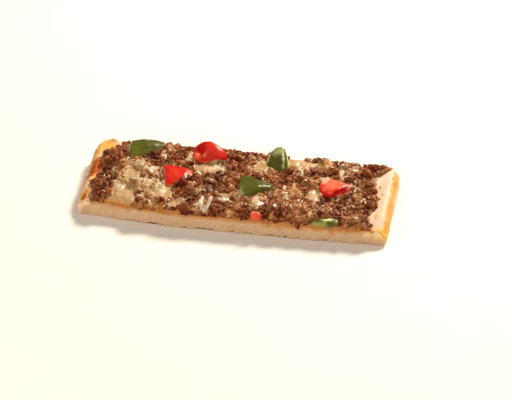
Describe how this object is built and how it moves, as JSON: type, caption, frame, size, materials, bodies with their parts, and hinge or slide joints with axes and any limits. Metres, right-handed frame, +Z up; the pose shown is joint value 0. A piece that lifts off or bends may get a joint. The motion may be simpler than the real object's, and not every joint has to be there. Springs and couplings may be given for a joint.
{
  "type": "flatbread pizza",
  "caption": "Rectangular strip of flatbread pizza with cut long sides and baked end rims, topped with melted cheese, fried beef mince and pepper pieces.",
  "frame": {"origin": "centre of the bounding box at the flat underside of the bread", "axes": "+X along the strip towards its wider, paler end rim; -Y towards the cut side with the small pepper pieces; +Z up through the toppings"},
  "size_m": [0.25, 0.0851, 0.0315],
  "materials": {
    "bread": "baked wheat bread: pale floury crust, toasted gold to orange-brown on the end rims, beige open crumb on the cut sides",
    "cheese": "melted cheese, cream to yellow, glossy and slightly translucent, browned along the cut edge",
    "mince": "fried minced beef, brown, moist, in grains of 2 to 5 mm",
    "green_pepper": "cooked green bell pepper, olive satin skin, pale wet flesh at the cut edges",
    "red_pepper": "cooked red bell pepper, glossy red skin, orange-red wet flesh at the cut edges"
  },
  "bodies": {
    "root": {"flatbread": "bread", "cheese": "cheese", "ground_beef": "mince", "green_pepper_1": "green_pepper", "green_pepper_2": "green_pepper", "green_pepper_3": "green_pepper", "green_pepper_4": "green_pepper", "red_pepper_1": "red_pepper", "red_pepper_2": "red_pepper", "red_pepper_3": "red_pepper", "red_pepper_4": "red_pepper"}
  },
  "joints": []
}
